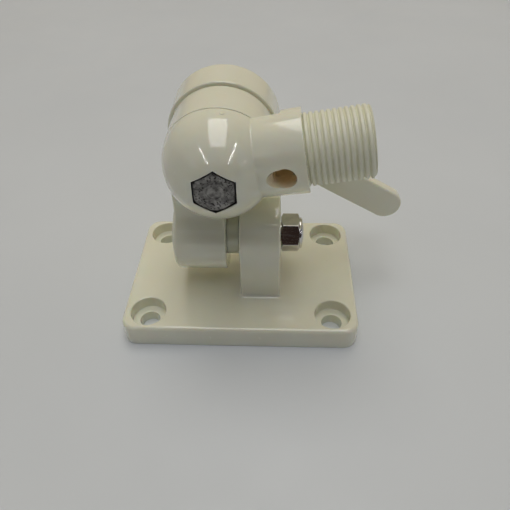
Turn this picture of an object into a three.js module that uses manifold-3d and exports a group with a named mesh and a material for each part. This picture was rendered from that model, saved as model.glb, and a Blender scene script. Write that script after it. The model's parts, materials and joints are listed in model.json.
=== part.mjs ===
// Two-axis lever mount: a screw-down base, a tilting elbow, and a swivelling ball head with a
// hollow threaded stud, clamped by a rear lever. Millimetres, +Z up.
// The origin is the centre of the base plate's underside. +X is the side the stud points to,
// and +Y is the side the lever is on.

import * as THREE from 'three';
import { mergeVertices } from 'three/addons/utils/BufferGeometryUtils.js';
import Module from 'manifold-3d';

// ---------------------------------------------------------------- driving dimensions

const CLEARANCE = 0.3;          // gap kept between any two pieces
const OVERSHOOT = 1;            // how far a cutting solid runs past the face that it cuts
const MERGE_TOLERANCE = 1e-4;   // vertices closer than this are one vertex

const PLATE = { width: 89, depth: 63, thickness: 9.4, cornerR: 5.5, edgeR: 1.5 };
const SCREW = { spacingX: 70, spacingY: 45.6, holeR: 3.8, headR: 6.7, seatZ: 4.45 };

const TILT_Z = 30;              // height of the tilt axis, which runs along X
const POST = { left: 0, right: 15, halfDepth: 14.6, edgeR: 0.8 };
const BARREL = { left: -24.2, right: -4.8, radius: 14, leftEdgeR: 2, rightEdgeR: 0.6 };
const HUB = { radius: 8.3, keyAcrossFlats: 14, keyLength: 5.2 };

const SWIVEL = { x: -5.3, z: 67 };   // the swivel axis, which runs along Y
const RING = { front: -7.15, back: 7.6, radius: 18.45, edgeR: 0.5 };
const BALL = { centreY: -8.5, radius: 18.4 };

const STUD_LIFT = 9.5;          // angle of the stud above +X, in degrees
const COLLAR = { backStart: 21.8, end: 28.2, rootR: 13.1, endR: 13.5 };
const THREAD = {
  end: 48.9, majorR: 11.45, depth: 0.95, pitch: 1.814,
  crestStart: 0.35, crestEnd: 0.65,    // places along one turn, in pitches
  leadIn: 0.9,                         // chamfer at the stud's open end
};
const CABLE = {
  boreR: 7.75, boreStart: 23.5,                   // the hollow of the stud
  holeAt: 21.2, holeDrop: 1, holeR: 3.7,          // the side entry, facing -Y
  floorY: -1, throatY: -4.7, throatStart: 18,     // the pocket behind it, from the stud's axis
  rampAt: [20.2, -11.5], rampAngle: 35, rampHalfLength: 10,
};

const LEVER = {
  front: 8.05, back: 22.3, frontR: 19.4, backR: 19.7, edgeR: 0.6, backEdgeR: 1.6,
  barFront: 17.5, halfWidth: 6.2, reach: 79, droop: 30.5,
};

const M8 = {
  shankR: 3.9, boreR: 4.3, nutBoreR: 4.2, acrossFlats: 12.8, headHeight: 5.3,
  nutHeight: 6.5, pocketAcrossFlats: 13.4, length: 40, tipChamfer: 0.8,
  washerR: 8, washerThickness: 1.6,
};
const HEX_CHAMFER = { inset: 0.2, height: 1.4, spread: 2.4 };
const TILT_BOLT = { underHead: -16.4 };
const SWIVEL_BOLT = { underHead: -19.9 };
const LOCKNUT = {
  hexHeight: 6.9, height: 8, collarR: 6, collarEdgeR: 0.9,
  grooveR: 5.2, grooveStart: 5.9, grooveEnd: 7.5, lipR: 4.5,
};
const LEVER_NUT_FRONT = 14.3;

const TILT_TEETH = { count: 24, innerR: 4.6, outerR: 8.6, depth: 0.45, gap: 0.3 };
const SWIVEL_TEETH = { count: 36, innerR: 9, outerR: 15.5, depth: 0.8 };
const GROOVE_OVERSHOOT = 0.4;   // how far a groove's cutter stands above the face it cuts
const SPRING = {
  wireR: 0.6, coilR: 5.9, front: -14.4, back: -3.6, pocketR: 7.2, seatGap: 1,
  turns: 5, stepsPerTurn: 12, wireHalfSides: 3,
};
const WEB = {
  leftInset: 1.1, rightInset: 0.4, rightHeight: 14.5, flankAngle: -30,
  footHeight: 19, footAngle: 35, footBlend: 3,
};

const SEGMENTS = { large: 40, small: 24, arc: 12, ball: 24, stud: 36, corner: 6, bevel: 2 };

// ---------------------------------------------------------------- materials

function nylon() {
  return new THREE.MeshStandardMaterial({ color: 0xede6cb, roughness: 0.3, metalness: 0 });
}

function steel() {
  return new THREE.MeshStandardMaterial({ color: 0xb4b4b0, roughness: 0.28, metalness: 1 });
}

function whiteNylon() {
  return new THREE.MeshStandardMaterial({ color: 0xf2f2ee, roughness: 0.45, metalness: 0 });
}

// ---------------------------------------------------------------- solids

const wasm = await Module();
wasm.setup();

// A closed three.js geometry as a solid, with shared vertices merged and slivers dropped.
function solid(geometry) {
  const source = geometry.clone();
  source.deleteAttribute('normal');
  source.deleteAttribute('uv');
  const merged = mergeVertices(source, MERGE_TOLERANCE);
  const index = merged.index.array;
  const triangles = [];
  for (let i = 0; i < index.length; i += 3) {
    const [a, b, c] = [index[i], index[i + 1], index[i + 2]];
    if (a !== b && b !== c && c !== a) {
      triangles.push(a, b, c);
    }
  }
  return new wasm.Manifold(new wasm.Mesh({
    numProp: 3,
    vertProperties: new Float32Array(merged.attributes.position.array),
    triVerts: new Uint32Array(triangles),
  }));
}

function mesh(name, body, material) {
  const result = body.getMesh();
  const geometry = new THREE.BufferGeometry();
  geometry.setAttribute('position', new THREE.BufferAttribute(result.vertProperties, 3));
  geometry.setIndex(new THREE.BufferAttribute(result.triVerts, 1));
  geometry.computeVertexNormals();
  const node = new THREE.Mesh(geometry, material);
  node.name = name;
  return node;
}

// Turned solids: the profile is [radius, height] pairs from the low end to the high end.
function turned(profile, segments) {
  const points = profile.map(([r, h]) => new THREE.Vector2(r, h));
  return new THREE.LatheGeometry(points, segments);
}

function turnedAlongY(profile, segments = SEGMENTS.large) {
  return solid(turned(profile, segments));
}

function turnedAlongX(profile, segments = SEGMENTS.large) {
  return solid(turned(profile, segments).rotateZ(-Math.PI / 2));
}

function turnedAlongZ(profile, segments = SEGMENTS.large) {
  return solid(turned(profile, segments).rotateX(Math.PI / 2));
}

function rod(radius, low, high) {
  return [[0, low], [radius, low], [radius, high], [0, high]];
}

// A rod profile whose two rims are rounded by their own radii.
function roundedRod(lowR, highR, low, high, lowEdge, highEdge) {
  const points = [[0, low]];
  for (let i = 0; i <= SEGMENTS.bevel; i += 1) {
    const turn = (i / SEGMENTS.bevel) * (Math.PI / 2);
    points.push([lowR - lowEdge * (1 - Math.sin(turn)), low + lowEdge * (1 - Math.cos(turn))]);
  }
  for (let i = 0; i <= SEGMENTS.bevel; i += 1) {
    const turn = (i / SEGMENTS.bevel) * (Math.PI / 2);
    points.push([highR - highEdge * (1 - Math.cos(turn)), high - highEdge * (1 - Math.sin(turn))]);
  }
  points.push([0, high]);
  return points;
}

function hexagon(acrossFlats, flatTurn) {
  const cornerR = acrossFlats / Math.sqrt(3);
  const shape = new THREE.Shape();
  for (let i = 0; i < 6; i += 1) {
    const turn = flatTurn + Math.PI / 6 + (i * Math.PI) / 3;
    const corner = [cornerR * Math.cos(turn), cornerR * Math.sin(turn)];
    if (i === 0) {
      shape.moveTo(...corner);
    } else {
      shape.lineTo(...corner);
    }
  }
  shape.closePath();
  return shape;
}

// Extrusions. Along X the outline is (Y, Z); along Y it is (X, Z), and low < high in both.
function extrude(shape, depth, bevel = 0) {
  return new THREE.ExtrudeGeometry(shape, {
    depth: depth - 2 * bevel,
    bevelEnabled: bevel > 0,
    bevelSize: bevel,
    bevelThickness: bevel,
    bevelOffset: -bevel,
    bevelSegments: SEGMENTS.bevel,
    curveSegments: SEGMENTS.arc,
  }).translate(0, 0, bevel);
}

function extrudedAlongX(shape, low, high, bevel = 0) {
  const geometry = extrude(shape, high - low, bevel);
  return solid(geometry.rotateY(Math.PI / 2).rotateX(Math.PI / 2).translate(low, 0, 0));
}

function extrudedAlongY(shape, low, high, bevel = 0) {
  const geometry = extrude(shape, high - low, bevel);
  return solid(geometry.rotateX(Math.PI / 2).translate(0, high, 0));
}

function extrudedAlongZ(shape, low, high, bevel = 0) {
  return solid(extrude(shape, high - low, bevel).translate(0, 0, low));
}

// Radial V grooves for the face of a disc: a face ratchet. They are built about +Z, with the
// disc's face at Z = 0, and go down to -depth.
function faceGrooves({ count, innerR, outerR, depth }) {
  const halfWidth = (Math.PI * outerR) / count;
  const rise = GROOVE_OVERSHOOT;
  const topHalfWidth = halfWidth * (1 + rise / depth);
  const section = new THREE.Shape();
  section.moveTo(0, -depth);
  section.lineTo(topHalfWidth, rise);
  section.lineTo(-topHalfWidth, rise);
  section.closePath();
  const groove = extrude(section, outerR - innerR).rotateX(Math.PI / 2).translate(0, outerR, 0);
  const single = solid(groove);
  let grooves = single;
  for (let i = 1; i < count; i += 1) {
    grooves = grooves.add(single.rotate([0, 0, (i * 360) / count]));
  }
  return grooves;
}

// Turns from +Z, about which a piece is built, to the axis that it lies along.
const TO_PLUS_X = [0, 90, 0];
const TO_MINUS_X = [0, -90, 0];
const TO_PLUS_Y = [-90, 0, 0];
const TO_MINUS_Y = [90, 0, 0];

// ---------------------------------------------------------------- fasteners

// A hexagonal block from 0 to height along +Z, with its corners turned off at one or both ends.
function hexBlock(acrossFlats, height, chamferLow, chamferHigh) {
  const faceR = acrossFlats / 2 - HEX_CHAMFER.inset;
  const drop = HEX_CHAMFER.height;
  const outerR = faceR + HEX_CHAMFER.spread;
  const profile = [[0, 0]];
  profile.push(...(chamferLow ? [[faceR, 0], [outerR, drop]] : [[outerR, 0]]));
  profile.push(...(chamferHigh ? [[outerR, height - drop], [faceR, height]] : [[outerR, height]]));
  profile.push([0, height]);
  const block = extrudedAlongZ(hexagon(acrossFlats, 0), 0, height);
  return block.intersect(turnedAlongZ(profile));
}

// A hexagon-head bolt along +Z, with the underside of its head at 0.
function bolt() {
  const head = hexBlock(M8.acrossFlats, M8.headHeight, true, false).translate(0, 0, -M8.headHeight);
  const tip = M8.tipChamfer;
  const shank = turnedAlongZ([
    [0, -M8.headHeight / 2],
    [M8.shankR, -M8.headHeight / 2],
    [M8.shankR, M8.length - tip],
    [M8.shankR - tip, M8.length],
    [0, M8.length],
  ], SEGMENTS.small);
  return head.add(shank);
}

// The hexagonal pocket that holds a bolt's head, along -Z from the head's underside.
function hexPocket() {
  const shape = hexagon(M8.pocketAcrossFlats, 0);
  return extrudedAlongZ(shape, -BALL.radius, 0).translate(0, 0, CLEARANCE);
}

function tiltBolt() {
  return bolt().rotate(TO_PLUS_X).translate(TILT_BOLT.underHead, 0, TILT_Z);
}

function swivelBolt() {
  return bolt().rotate(TO_PLUS_Y).translate(SWIVEL.x, SWIVEL_BOLT.underHead, SWIVEL.z);
}

// The locknut's steel body: a hexagon, then a round collar crimped over the nylon ring.
function lockNut() {
  const { hexHeight, height, collarR, collarEdgeR, grooveR, grooveStart, grooveEnd, lipR } = LOCKNUT;
  const hex = hexBlock(M8.acrossFlats, hexHeight, true, true);
  const collar = turnedAlongZ(roundedRod(collarR, collarR, hexHeight / 2, height, 0, collarEdgeR));
  const bore = turnedAlongZ([
    [0, -OVERSHOOT],
    [M8.nutBoreR, -OVERSHOOT],
    [M8.nutBoreR, grooveStart],
    [grooveR, grooveStart],
    [grooveR, grooveEnd],
    [lipR, grooveEnd],
    [lipR, height + OVERSHOOT],
    [0, height + OVERSHOOT],
  ], SEGMENTS.small);
  return hex.add(collar).subtract(bore);
}

function tiltLocknut() {
  return lockNut().rotate(TO_PLUS_X).translate(POST.right + CLEARANCE, 0, TILT_Z);
}

function tiltLocknutInsert() {
  const { grooveStart, grooveEnd, grooveR } = LOCKNUT;
  const ring = turnedAlongZ(
    rod(grooveR - CLEARANCE, grooveStart + CLEARANCE, grooveEnd - CLEARANCE),
    SEGMENTS.small,
  );
  const bore = turnedAlongZ(rod(M8.nutBoreR, 0, LOCKNUT.height), SEGMENTS.small);
  return ring.subtract(bore).rotate(TO_PLUS_X).translate(POST.right + CLEARANCE, 0, TILT_Z);
}

function leverNut() {
  const bore = turnedAlongZ(rod(M8.nutBoreR, -OVERSHOOT, M8.nutHeight + OVERSHOOT), SEGMENTS.small);
  return hexBlock(M8.acrossFlats, M8.nutHeight, true, true)
    .subtract(bore)
    .rotate(TO_PLUS_Y)
    .rotate([0, LEVER.droop, 0])
    .translate(SWIVEL.x, LEVER_NUT_FRONT, SWIVEL.z);
}

function leverWasher() {
  const front = RING.back + CLEARANCE;
  const back = front + M8.washerThickness;
  const bore = turnedAlongY(rod(M8.boreR, front - OVERSHOOT, back + OVERSHOOT), SEGMENTS.small);
  return turnedAlongY(rod(M8.washerR, front, back)).subtract(bore).translate(SWIVEL.x, 0, SWIVEL.z);
}

class Helix extends THREE.Curve {
  getPoint(t, target = new THREE.Vector3()) {
    const turn = t * SPRING.turns * 2 * Math.PI;
    const y = THREE.MathUtils.lerp(SPRING.front, SPRING.back, t);
    return target.set(SPRING.coilR * Math.cos(turn), y, SPRING.coilR * Math.sin(turn));
  }
}

function releaseSpring() {
  const wire = new THREE.Shape().absarc(0, 0, SPRING.wireR, 0, 2 * Math.PI);
  const coil = new THREE.ExtrudeGeometry(wire, {
    extrudePath: new Helix(),
    steps: SPRING.turns * SPRING.stepsPerTurn,
    curveSegments: SPRING.wireHalfSides,
  });
  return solid(coil).translate(SWIVEL.x, 0, SWIVEL.z);
}

// ---------------------------------------------------------------- base

function plate() {
  const { width, depth, thickness, cornerR, edgeR } = PLATE;
  const x = width / 2;
  const y = depth / 2;
  const outline = new THREE.Shape();
  outline.moveTo(cornerR - x, -y);
  outline.absarc(x - cornerR, cornerR - y, cornerR, -Math.PI / 2, 0);
  outline.absarc(x - cornerR, y - cornerR, cornerR, 0, Math.PI / 2);
  outline.absarc(cornerR - x, y - cornerR, cornerR, Math.PI / 2, Math.PI);
  outline.absarc(cornerR - x, cornerR - y, cornerR, Math.PI, 1.5 * Math.PI);
  const blank = new THREE.ExtrudeGeometry(outline, {
    depth: thickness - edgeR,
    bevelEnabled: true,
    bevelSize: edgeR,
    bevelThickness: edgeR,
    bevelOffset: -edgeR,
    bevelSegments: SEGMENTS.bevel,
    curveSegments: SEGMENTS.corner,
  });
  const below = new THREE.BoxGeometry(2 * width, 2 * depth, thickness).translate(0, 0, -thickness / 2);
  return solid(blank).subtract(solid(below));
}

function screwHoles() {
  const { spacingX, spacingY, holeR, headR, seatZ } = SCREW;
  const hole = turnedAlongZ([
    [0, -OVERSHOOT],
    [holeR, -OVERSHOOT],
    [holeR, seatZ],
    [headR, seatZ],
    [headR, PLATE.thickness + OVERSHOOT],
    [0, PLATE.thickness + OVERSHOOT],
  ], SEGMENTS.small);
  const places = [-1, 1].flatMap((i) => [-1, 1].map((j) => [(i * spacingX) / 2, (j * spacingY) / 2]));
  return places.map(([x, y]) => hole.translate(x, y, 0));
}

function post() {
  const { left, right, halfDepth, edgeR } = POST;
  const outline = new THREE.Shape();
  outline.moveTo(-halfDepth, PLATE.thickness / 2);
  outline.lineTo(halfDepth, PLATE.thickness / 2);
  outline.absarc(0, TILT_Z, halfDepth, 0, Math.PI);
  outline.closePath();
  return extrudedAlongX(outline, left, right, edgeR);
}

// The toothed boss on the post's left face.
function postRatchet() {
  const face = POST.left - TILT_TEETH.depth;
  const boss = turnedAlongX(rod(HUB.radius, face, POST.left + OVERSHOOT)).translate(0, 0, TILT_Z);
  const grooves = faceGrooves(TILT_TEETH).rotate(TO_MINUS_X).translate(face, 0, TILT_Z);
  return boss.subtract(grooves);
}

function baseBracket() {
  const bore = turnedAlongX(rod(M8.boreR, BARREL.left, POST.right + OVERSHOOT), SEGMENTS.small);
  const body = plate().add(post()).add(postRatchet()).subtract(bore.translate(0, 0, TILT_Z));
  return screwHoles().reduce((left, hole) => left.subtract(hole), body);
}

// ---------------------------------------------------------------- elbow

// The web between the barrel and the ring, as an outline in X and Z.
function webOutline() {
  const { x, z } = SWIVEL;
  const shape = new THREE.Shape();
  const flank = WEB.flankAngle * (Math.PI / 180);
  shape.moveTo(BARREL.left + WEB.leftInset, TILT_Z);
  shape.lineTo(BARREL.right - WEB.rightInset, TILT_Z);
  shape.lineTo(BARREL.right - WEB.rightInset, TILT_Z + WEB.rightHeight);
  shape.lineTo(x + RING.radius * Math.cos(flank), z + RING.radius * Math.sin(flank));
  shape.lineTo(x, z);
  shape.lineTo(BARREL.left + WEB.leftInset, z);
  shape.closePath();
  return shape;
}

// The barrel's end of the web is as deep as the barrel and narrows to the ring's depth.
function webFoot() {
  const shape = new THREE.Shape();
  const low = TILT_Z;
  const high = TILT_Z + WEB.footHeight;
  const barrelY = BARREL.radius * Math.cos(WEB.footAngle * (Math.PI / 180));
  const barrelZ = low + BARREL.radius * Math.sin(WEB.footAngle * (Math.PI / 180));
  shape.moveTo(-barrelY, barrelZ);
  shape.lineTo(0, low);
  shape.lineTo(barrelY, barrelZ);
  shape.quadraticCurveTo(RING.back, barrelZ + WEB.footBlend, RING.back, high);
  shape.lineTo(RING.front, high);
  shape.quadraticCurveTo(RING.front, barrelZ + WEB.footBlend, -barrelY, barrelZ);
  return extrudedAlongX(shape, BARREL.left + WEB.leftInset, BARREL.right - WEB.rightInset);
}

function elbowKnuckle() {
  const barrel = turnedAlongX(roundedRod(
    BARREL.radius, BARREL.radius, BARREL.left, BARREL.right, BARREL.leftEdgeR, BARREL.rightEdgeR,
  )).translate(0, 0, TILT_Z);
  const ring = turnedAlongY(roundedRod(
    RING.radius, RING.radius, RING.front, RING.back, RING.edgeR, RING.edgeR,
  )).translate(SWIVEL.x, 0, SWIVEL.z);
  const web = extrudedAlongY(webOutline(), RING.front, RING.back);
  const tiltBore = turnedAlongX(rod(M8.boreR, BARREL.left - OVERSHOOT, POST.right), SEGMENTS.small);
  const boltPocket = hexPocket().rotate(TO_PLUS_X).translate(TILT_BOLT.underHead, 0, 0);
  const keyStart = BARREL.right - HUB.keyLength - CLEARANCE;
  const hubSocket = extrudedAlongX(
    hexagon(HUB.keyAcrossFlats + 2 * CLEARANCE, Math.PI / 2), keyStart, BARREL.right + OVERSHOOT,
  );
  const front = RING.front - OVERSHOOT;
  const swivelBore = turnedAlongY(rod(M8.boreR, front, RING.back + OVERSHOOT), SEGMENTS.small);
  const springPocket = turnedAlongY(rod(SPRING.pocketR, front, SPRING.back + SPRING.seatGap));
  const teeth = faceGrooves(SWIVEL_TEETH).rotate(TO_MINUS_Y).translate(0, RING.front, 0);
  const tiltCuts = tiltBore.add(boltPocket).add(hubSocket).translate(0, 0, TILT_Z);
  const swivelCuts = swivelBore.add(springPocket).add(teeth).translate(SWIVEL.x, 0, SWIVEL.z);
  return barrel.add(webFoot()).add(web).add(ring).subtract(tiltCuts).subtract(swivelCuts);
}

// The toothed hub between the barrel and the post: a round collar with a hexagonal key.
function tiltRatchetHub() {
  const face = POST.left - TILT_TEETH.depth - TILT_TEETH.gap;
  const collar = turnedAlongX(rod(HUB.radius, BARREL.right + CLEARANCE, face));
  const key = extrudedAlongX(
    hexagon(HUB.keyAcrossFlats, Math.PI / 2), BARREL.right - HUB.keyLength, face - TILT_TEETH.depth,
  );
  const bore = turnedAlongX(rod(M8.boreR, BARREL.left, POST.right), SEGMENTS.small);
  const grooves = faceGrooves(TILT_TEETH).rotate(TO_PLUS_X).translate(face, 0, 0);
  return collar.add(key).subtract(bore).subtract(grooves).translate(0, 0, TILT_Z);
}

// ---------------------------------------------------------------- head

// The threaded stud's outline along its axis: a smooth collar, then rings of thread.
function studProfile() {
  const { majorR, depth, pitch, end } = THREAD;
  const minorR = majorR - depth;
  const points = [[0, 0], [COLLAR.rootR, 0], [COLLAR.endR, COLLAR.end], [minorR, COLLAR.end]];
  const turns = Math.ceil((end - COLLAR.end) / pitch);
  for (let i = 0; i < turns; i += 1) {
    const start = COLLAR.end + i * pitch;
    points.push([majorR, start + THREAD.crestStart * pitch]);
    points.push([majorR, start + THREAD.crestEnd * pitch]);
    points.push([minorR, start + pitch]);
  }
  points.push([0, COLLAR.end + turns * pitch]);
  return points;
}

// The collar's rear half is cut away beside the ring, so that the stud can lie down either way.
function collarRelief() {
  const size = 2 * COLLAR.backStart;
  const back = RING.front - CLEARANCE - BALL.centreY;
  return solid(new THREE.BoxGeometry(size, size, size).translate(0, back + size / 2, 0));
}

// The side entry for a cable: a round hole with a slanted lead-in, and a throat into the bore.
function cableEntry() {
  const { holeR, holeAt, holeDrop, rampAt, rampAngle, rampHalfLength } = CABLE;
  const hole = turnedAlongY(rod(holeR, -2 * COLLAR.endR, CABLE.floorY), SEGMENTS.small);
  const ramp = turnedAlongY(rod(holeR, -rampHalfLength, rampHalfLength), SEGMENTS.small)
    .rotate([0, 0, -rampAngle])
    .translate(rampAt[0], rampAt[1], 0);
  const throat = turnedAlongX(rod(holeR, CABLE.throatStart, CABLE.boreStart + OVERSHOOT), SEGMENTS.small)
    .translate(0, CABLE.throatY, 0);
  const size = 2 * COLLAR.end;
  const front = solid(new THREE.BoxGeometry(size, size, size))
    .translate(COLLAR.end, CABLE.floorY - size / 2, 0);
  return hole.translate(holeAt, 0, 0).add(ramp.intersect(front)).add(throat)
    .translate(0, 0, -holeDrop);
}

function stud() {
  const envelope = turnedAlongX([
    [0, 0],
    [COLLAR.endR, 0],
    [COLLAR.endR, COLLAR.end],
    [THREAD.majorR, COLLAR.end],
    [THREAD.majorR, THREAD.end - THREAD.leadIn],
    [THREAD.majorR - THREAD.leadIn, THREAD.end],
    [0, THREAD.end],
  ], SEGMENTS.stud);
  const body = turnedAlongX(studProfile(), SEGMENTS.stud).intersect(envelope);
  const bore = turnedAlongX(rod(CABLE.boreR, CABLE.boreStart, THREAD.end + OVERSHOOT), SEGMENTS.small);
  return body.subtract(bore).subtract(cableEntry()).subtract(collarRelief())
    .rotate([0, -STUD_LIFT, 0])
    .translate(0, BALL.centreY, 0);
}

function swivelHead() {
  const back = RING.front - CLEARANCE;
  const ball = solid(new THREE.SphereGeometry(BALL.radius, SEGMENTS.large, SEGMENTS.ball))
    .translate(0, BALL.centreY, 0);
  const bore = turnedAlongY(rod(M8.boreR, BALL.centreY - BALL.radius, LEVER.back), SEGMENTS.small);
  const pocket = hexPocket().rotate(TO_PLUS_Y).translate(0, SWIVEL_BOLT.underHead, 0);
  const springPocket = turnedAlongY(rod(
    SPRING.pocketR, SPRING.front - SPRING.seatGap, back + OVERSHOOT,
  ));
  const teeth = faceGrooves(SWIVEL_TEETH).rotate(TO_PLUS_Y).translate(0, back, 0);
  return ball.subtract(turnedAlongY(rod(2 * BALL.radius, back, LEVER.back)))
    .add(stud())
    .subtract(bore.add(pocket).add(springPocket).add(teeth))
    .translate(SWIVEL.x, 0, SWIVEL.z);
}

// ---------------------------------------------------------------- lever

function leverHandle() {
  const { front, back, frontR, backR, edgeR, backEdgeR, barFront, halfWidth, reach } = LEVER;
  const hub = turnedAlongY(roundedRod(frontR, backR, front, back, edgeR, backEdgeR));
  const outline = new THREE.Shape();
  outline.moveTo(0, -halfWidth);
  outline.lineTo(reach - halfWidth, -halfWidth);
  outline.absarc(reach - halfWidth, 0, halfWidth, -Math.PI / 2, Math.PI / 2);
  outline.lineTo(0, halfWidth);
  outline.closePath();
  const bar = extrudedAlongY(outline, barFront, back, edgeR);
  const bore = turnedAlongY(rod(M8.boreR, front - OVERSHOOT, back + OVERSHOOT), SEGMENTS.small);
  const washerSeat = turnedAlongY(rod(
    M8.washerR + CLEARANCE, front - OVERSHOOT, RING.back + M8.washerThickness + 2 * CLEARANCE,
  ));
  const nutPocket = extrudedAlongZ(hexagon(M8.acrossFlats + 2 * CLEARANCE, 0), 0, back)
    .rotate(TO_PLUS_Y)
    .translate(0, LEVER_NUT_FRONT - CLEARANCE, 0);
  return hub.add(bar).subtract(bore.add(washerSeat).add(nutPocket))
    .rotate([0, LEVER.droop, 0])
    .translate(SWIVEL.x, 0, SWIVEL.z);
}

// ---------------------------------------------------------------- assembly

const leverMount = new THREE.Group();

function body(...nodes) {
  const group = new THREE.Group();
  group.add(...nodes);
  leverMount.add(group);
}

body(mesh('base_bracket', baseBracket(), nylon()));
body(
  mesh('elbow_knuckle', elbowKnuckle(), nylon()),
  mesh('tilt_ratchet_hub', tiltRatchetHub(), nylon()),
  mesh('tilt_bolt', tiltBolt(), steel()),
  mesh('tilt_locknut', tiltLocknut(), steel()),
  mesh('tilt_locknut_insert', tiltLocknutInsert(), whiteNylon()),
);
body(
  mesh('swivel_head', swivelHead(), nylon()),
  mesh('swivel_bolt', swivelBolt(), steel()),
  mesh('release_spring', releaseSpring(), steel()),
);
body(
  mesh('lever_handle', leverHandle(), nylon()),
  mesh('lever_nut', leverNut(), steel()),
  mesh('lever_washer', leverWasher(), steel()),
);

export default leverMount;
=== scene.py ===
import json
import math

import bmesh
import bpy
from mathutils import Euler, Matrix, Vector


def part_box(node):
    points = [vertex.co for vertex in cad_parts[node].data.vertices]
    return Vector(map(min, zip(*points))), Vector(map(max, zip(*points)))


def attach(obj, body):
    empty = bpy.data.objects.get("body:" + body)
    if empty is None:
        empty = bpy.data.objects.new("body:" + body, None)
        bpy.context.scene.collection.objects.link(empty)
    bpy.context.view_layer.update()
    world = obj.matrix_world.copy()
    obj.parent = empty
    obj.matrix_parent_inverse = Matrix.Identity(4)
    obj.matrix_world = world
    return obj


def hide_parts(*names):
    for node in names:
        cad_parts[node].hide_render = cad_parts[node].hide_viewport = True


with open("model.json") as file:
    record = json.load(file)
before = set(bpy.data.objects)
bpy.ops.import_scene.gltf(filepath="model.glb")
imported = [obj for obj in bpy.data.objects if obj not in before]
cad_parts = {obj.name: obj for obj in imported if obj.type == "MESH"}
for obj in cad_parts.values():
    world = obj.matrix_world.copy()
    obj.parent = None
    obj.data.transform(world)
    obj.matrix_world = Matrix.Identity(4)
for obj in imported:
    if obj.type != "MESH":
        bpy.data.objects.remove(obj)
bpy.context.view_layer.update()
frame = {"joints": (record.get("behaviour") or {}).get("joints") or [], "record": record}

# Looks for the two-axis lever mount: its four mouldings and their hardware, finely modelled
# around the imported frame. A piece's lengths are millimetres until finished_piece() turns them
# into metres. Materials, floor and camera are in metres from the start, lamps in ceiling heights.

MM = 0.001

# ---------------------------------------------------------------- sizes, most from the frame


def box(node):
    """(lowest corner, highest corner) of a CAD node, in millimetres."""
    low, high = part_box(node)
    return low / MM, high / MM


def named(rows, name):
    return next(row for row in rows if row["name"] == name)


RECORD = frame["record"]
TILT = Vector(named(frame["joints"], "tilt")["pos_m"]) / MM
SWIVEL = Vector(named(frame["joints"], "swivel")["pos_m"]) / MM
STUD_MOUNT = named(RECORD["mounts"], "stud_end")
STUD_AXIS = Vector(STUD_MOUNT["axis"]).normalized()

BASE_HIGH = box("base_bracket")[1]
ELBOW_LOW, ELBOW_HIGH = box("elbow_knuckle")
HEAD_LOW = box("swivel_head")[0]
LEVER_LOW, LEVER_HIGH = box("lever_handle")
NUT_LOW, NUT_HIGH = box("tilt_locknut")
BOLT_LOW, BOLT_HIGH = box("tilt_bolt")
PIVOT_LOW, PIVOT_HIGH = box("swivel_bolt")
CAPTIVE_LOW, CAPTIVE_HIGH = box("lever_nut")
WASHER_LOW, WASHER_HIGH = box("lever_washer")
HUB_LOW, HUB_HIGH = box("tilt_ratchet_hub")

GAP = 0.3                               # between neighbouring pieces
PLATE_TOP = 9.4
PLATE_CORNER = 5.5
SEAT_Z = named(RECORD["mounts"], "screw_seat_front_left")["pos_m"][2] / MM
SCREW_RADIUS = 3.8
SCREW_HEAD_RADIUS = 6.7

POST_LEFT = 0.0
POST_RIGHT = NUT_LOW.x - GAP
POST_RADIUS = BASE_HIGH.z - TILT.z
POST_EDGE = 0.8

BARREL_RADIUS = TILT.z - ELBOW_LOW.z
BARREL_LEFT = ELBOW_LOW.x
BARREL_RIGHT = -4.8
RING_RADIUS = ELBOW_HIGH.z - SWIVEL.z
RING_FRONT = -7.15
RING_BACK = 7.6

BALL_RADIUS = SWIVEL.x - HEAD_LOW.x
BALL_CENTRE = Vector((SWIVEL.x, STUD_MOUNT["pos_m"][1] / MM, SWIVEL.z))
STUD_LIFT = math.atan2(STUD_AXIS.z, STUD_AXIS.x)
STUD_END = (Vector(STUD_MOUNT["pos_m"]) / MM - BALL_CENTRE).dot(STUD_AXIS)
COLLAR_END = 28.2
COLLAR_BACK_START = 21.8
COLLAR_ROOT_RADIUS = 13.1
COLLAR_RADIUS = 13.5
THREAD = {"radius": 11.45, "depth": 0.85, "pitch": 1.814}
BORE_RADIUS = 7.75
BORE_START = 23.5

LEVER_FRONT_RADIUS = 19.4
LEVER_BACK_RADIUS = 19.7
LEVER_DROOP = math.radians(30.5)
LEVER_REACH = 79.0
LEVER_BAR_FRONT = 17.5
LEVER_HALF_WIDTH = 6.2

HUB_RADIUS = (HUB_HIGH.y - HUB_LOW.y) / 2
HUB_KEY = 14.0                          # across flats
HUB_KEY_LENGTH = 5.2
SPRING_POCKET = 7.2
SPRING_POCKET_FRONT = -15.4
SPRING_POCKET_BACK = -2.6

BOLT_RADIUS = 3.9
BOLT_BORE_RADIUS = 4.3
NUT_BORE_RADIUS = 4.2
HEX_HEAD = 12.8                         # across flats
SWIVEL_HEX_HEAD = 12.5                  # an as-forged head, a little under size
SWIVEL_BOLT_SAG = Vector((-0.15, 0, -0.35))   # how far it hangs off its bore's axis
HEX_POCKET = 13.4
HEAD_HEIGHT = 5.3

# ---------------------------------------------------------------- outlines

QUARTER_TURN = math.radians(90)
ARC_STEPS = 7                           # in a quarter turn
TURN_STEPS = 192                        # round a full turn
OVERSHOOT = 1.0                         # how far a cutter runs past the face that it cuts
MARGIN = 0.05                           # for telling on which side of a plane a face lies


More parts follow.
